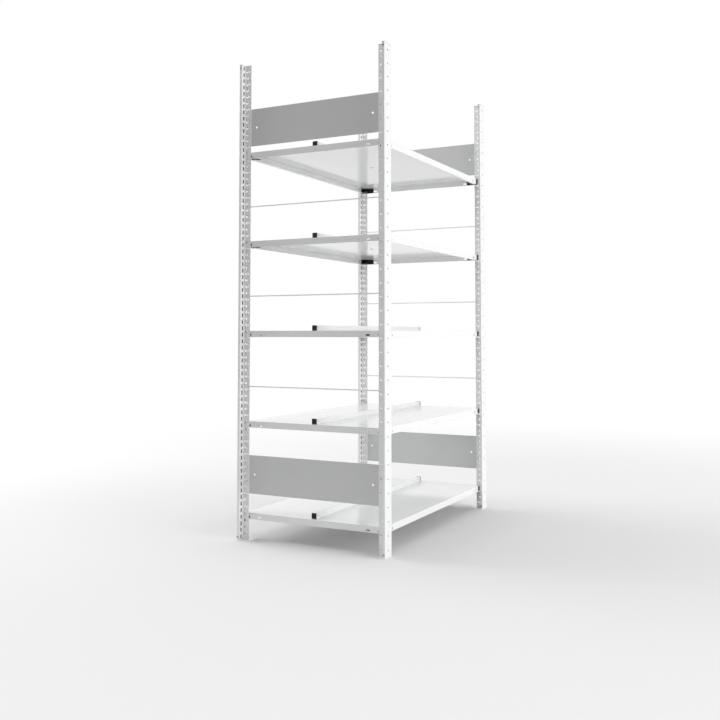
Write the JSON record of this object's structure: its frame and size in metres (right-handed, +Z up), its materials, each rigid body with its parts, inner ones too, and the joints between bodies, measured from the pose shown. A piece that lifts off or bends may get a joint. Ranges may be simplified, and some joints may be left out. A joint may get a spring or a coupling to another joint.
{
  "type": "double-sided library shelving",
  "caption": "Freestanding double-sided steel shelving bay: slotted uprights, braced end frames and lift-off trays on clips, each parted along its middle by a low stop.",
  "frame": {"origin": "on the floor at the centre of the footprint", "axes": "+Z up, +X along the shelves, front side towards -Y"},
  "size_m": [1.066, 0.632, 1.85],
  "materials": {
    "pale_grey_paint": "glossy powder coat",
    "black_steel": "satin black",
    "black_plastic": "fine grain",
    "zinc_steel": "dull zinc plate"
  },
  "bodies": {
    "frame": {"upright_front_left": "pale_grey_paint", "upright_back_left": "pale_grey_paint", "upright_front_right": "pale_grey_paint", "upright_back_right": "pale_grey_paint", "foot_plate_front_left": "pale_grey_paint", "foot_plate_back_left": "pale_grey_paint", "foot_plate_front_right": "pale_grey_paint", "foot_plate_back_right": "pale_grey_paint", "foot_bolts": "zinc_steel", "frame_panel_bottom_left": "pale_grey_paint", "frame_panel_bottom_right": "pale_grey_paint", "frame_panel_top_left": "pale_grey_paint", "frame_panel_top_right": "pale_grey_paint", "panel_rivets": "pale_grey_paint", "tie_rod_left_1": "pale_grey_paint", "tie_rod_left_2": "pale_grey_paint", "tie_rod_left_3": "pale_grey_paint", "tie_rod_right_1": "pale_grey_paint", "tie_rod_right_2": "pale_grey_paint", "tie_rod_right_3": "pale_grey_paint", "shelf_clips_1": "black_steel", "shelf_clips_2": "black_steel", "shelf_clips_3": "black_steel", "shelf_clips_4": "black_steel", "shelf_clips_5": "black_steel"},
    "level_1": {"shelf_1": "pale_grey_paint", "center_stop_1": "pale_grey_paint", "stop_caps_1": "black_plastic", "stop_screws_1": "zinc_steel"},
    "level_2": {"shelf_2": "pale_grey_paint", "center_stop_2": "pale_grey_paint", "stop_caps_2": "black_plastic", "stop_screws_2": "zinc_steel"},
    "level_3": {"shelf_3": "pale_grey_paint", "center_stop_3": "pale_grey_paint", "stop_caps_3": "black_plastic", "stop_screws_3": "zinc_steel"},
    "level_4": {"shelf_4": "pale_grey_paint", "center_stop_4": "pale_grey_paint", "stop_caps_4": "black_plastic", "stop_screws_4": "zinc_steel"},
    "level_5": {"shelf_5": "pale_grey_paint", "center_stop_5": "pale_grey_paint", "stop_caps_5": "black_plastic", "stop_screws_5": "zinc_steel"}
  },
  "joints": [
    {"name": "shelf_1_lift", "type": "slide", "parent": "frame", "child": "level_1", "axis": [0, 0, 1], "range_m": [0, 0.25]},
    {"name": "shelf_2_lift", "type": "slide", "parent": "frame", "child": "level_2", "axis": [0, 0, 1], "range_m": [0, 0.25]},
    {"name": "shelf_3_lift", "type": "slide", "parent": "frame", "child": "level_3", "axis": [0, 0, 1], "range_m": [0, 0.25]},
    {"name": "shelf_4_lift", "type": "slide", "parent": "frame", "child": "level_4", "axis": [0, 0, 1], "range_m": [0, 0.25]},
    {"name": "shelf_5_lift", "type": "slide", "parent": "frame", "child": "level_5", "axis": [0, 0, 1], "range_m": [0, 0.25]}
  ]
}
